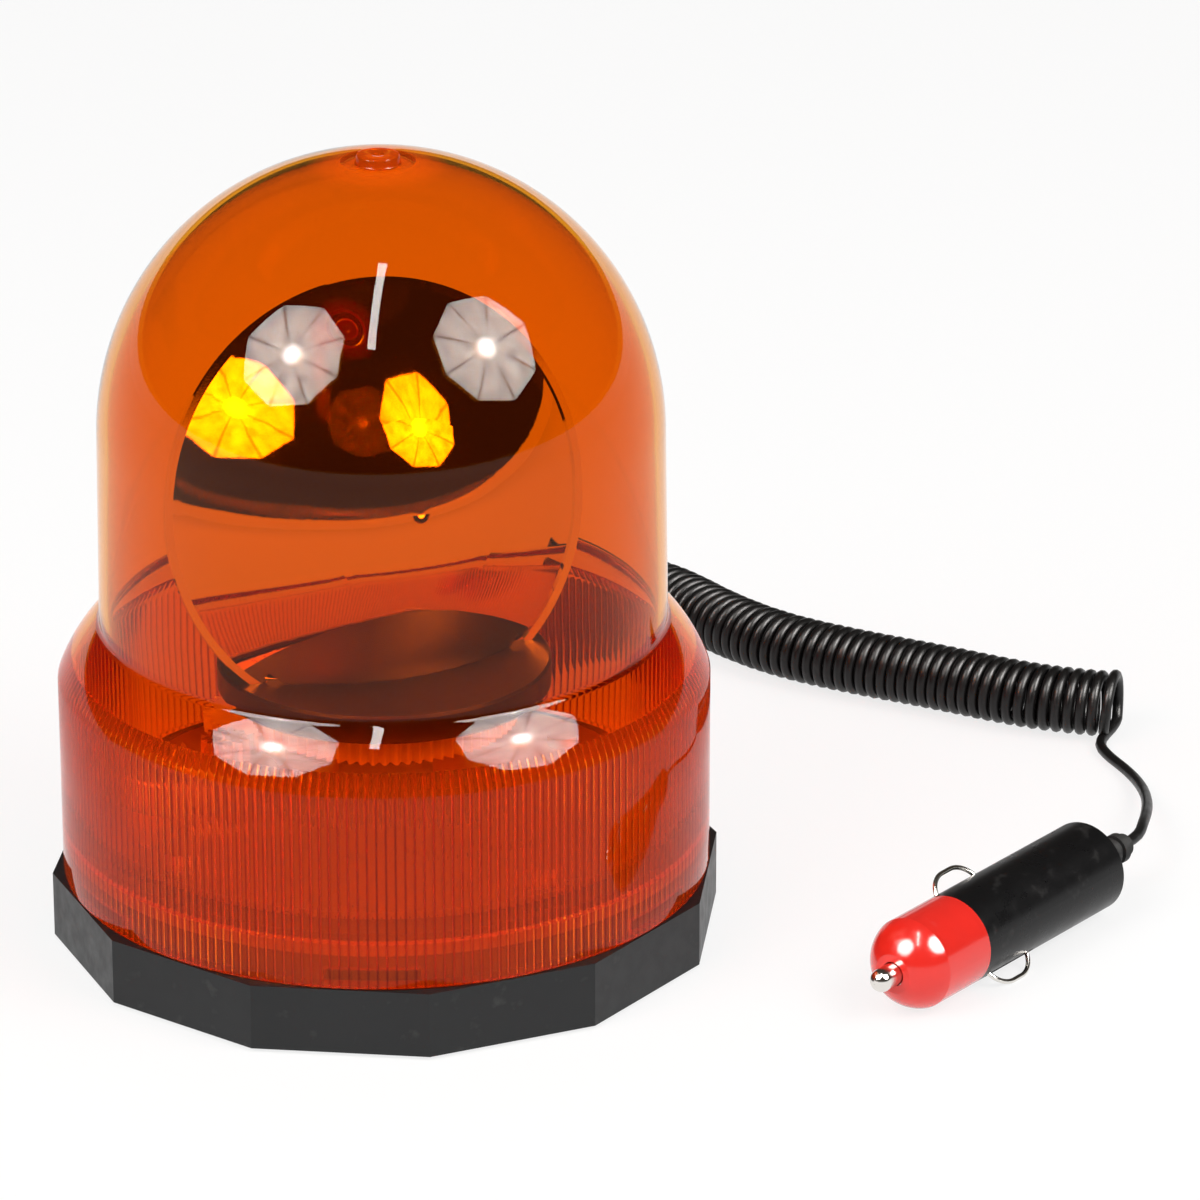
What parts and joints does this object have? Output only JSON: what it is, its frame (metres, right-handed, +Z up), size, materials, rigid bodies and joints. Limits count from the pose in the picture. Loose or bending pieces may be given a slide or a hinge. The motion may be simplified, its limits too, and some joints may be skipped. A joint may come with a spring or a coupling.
{
  "type": "rotating beacon",
  "caption": "Magnet-mount rotating warning beacon with an amber bayonet lens, a motor-geared reflector and a curly lead with a 12 V plug.",
  "frame": {"origin": "middle of the underside of the base, on the axis of the lens", "axes": "+Z up along the lens, +Y towards the side where the lead leaves, -Y the front"},
  "size_m": [0.2419, 0.2679, 0.1806],
  "materials": {
    "base_plastic": "satin black moulded plastic",
    "black_plastic": "satin moulded plastic",
    "dark_plastic": "semi-gloss dark moulded plastic",
    "plug_plastic": "fine satin moulded plastic",
    "red_plastic": "glossy red moulded plastic",
    "gear_plastic": "satin natural acetal",
    "amber_lens": "polished transparent amber acrylic with fine upright ribs on the band",
    "rubber": "matte black rubber",
    "gasket": "matte pale silicone",
    "cord": "satin black jacket",
    "ferrite": "matte sintered ferrite",
    "zinc_steel": "bright zinc plate",
    "nickel": "polished nickel plate",
    "brass": "plain turned brass",
    "insulator": "matte pressed fibre",
    "lamp_glass": "clear polished glass",
    "filament": "dull tungsten wire",
    "reflector_chrome": "mirror-bright metallised plastic"
  },
  "bodies": {
    "base": {"base_housing": "base_plastic", "magnet_boot": "rubber", "magnet_cup": "zinc_steel", "magnet_ring": "ferrite", "magnet_screw": "zinc_steel", "lens_gasket": "gasket", "chassis_plate": "zinc_steel", "chassis_screws": "zinc_steel", "lamp_post": "black_plastic", "lamp_holder": "nickel", "holder_insulator": "insulator", "centre_contact": "brass", "lamp_cap": "brass", "lamp_glass": "lamp_glass", "lamp_filament": "filament", "idler_axle": "zinc_steel", "idler_clip": "zinc_steel", "motor_can": "zinc_steel", "motor_end_cap": "black_plastic", "motor_bracket": "zinc_steel", "motor_screws": "zinc_steel", "cable_gland": "rubber", "cord_lead": "cord", "cord_coil": "cord", "cord_tail": "cord", "plug_upper_shell": "plug_plastic", "plug_lower_shell": "plug_plastic", "plug_nose": "red_plastic", "plug_fuse": "lamp_glass", "plug_strain_relief": "rubber"},
    "lens": {"lens_dome": "amber_lens"},
    "turntable": {"turntable": "dark_plastic", "ring_gear": "gear_plastic", "reflector": "reflector_chrome", "reflector_screws": "zinc_steel"},
    "idler": {"idler_gear": "gear_plastic"},
    "motor_rotor": {"motor_shaft": "nickel", "motor_pinion": "brass"},
    "plug_tip": {"plug_tip": "nickel"},
    "plug_contact_left": {"plug_contact_left": "nickel"},
    "plug_contact_right": {"plug_contact_right": "nickel"}
  },
  "joints": [
    {"name": "turntable_spin", "type": "hinge", "parent": "base", "child": "turntable", "pos_m": [0, 0, 0.05], "axis": [0, 0, 1], "continuous": true},
    {"name": "idler_spin", "type": "hinge", "parent": "base", "child": "idler", "pos_m": [-0.02862, 0.01789, 0.045], "axis": [0, 0, 1], "continuous": true},
    {"name": "motor_spin", "type": "hinge", "parent": "base", "child": "motor_rotor", "pos_m": [-0.036, 0, 0.04], "axis": [0, 0, 1], "continuous": true},
    {"name": "lens_twist", "type": "hinge", "parent": "base", "child": "lens", "pos_m": [0, 0, 0.02], "axis": [0, 0, 1], "range_deg": [0, 22]},
    {"name": "plug_tip_press", "type": "slide", "parent": "base", "child": "plug_tip", "axis": [0.5358, 0.8443, 0], "range_m": [0, 0.0025], "stiffness_N_per_m": 400, "springref_m": -0.002},
    {"name": "plug_contact_left_press", "type": "slide", "parent": "base", "child": "plug_contact_left", "axis": [-0.597, 0.3789, 0.7071], "range_m": [0, 0.0022], "stiffness_N_per_m": 600, "springref_m": -0.0015},
    {"name": "plug_contact_right_press", "type": "slide", "parent": "base", "child": "plug_contact_right", "axis": [0.597, -0.3789, -0.7071], "range_m": [0, 0.0022], "stiffness_N_per_m": 600, "springref_m": -0.0015}
  ],
  "couplings": [
    {"joint": "idler_spin", "follows": "turntable_spin", "ratio": -6},
    {"joint": "motor_spin", "follows": "turntable_spin", "ratio": 18}
  ]
}
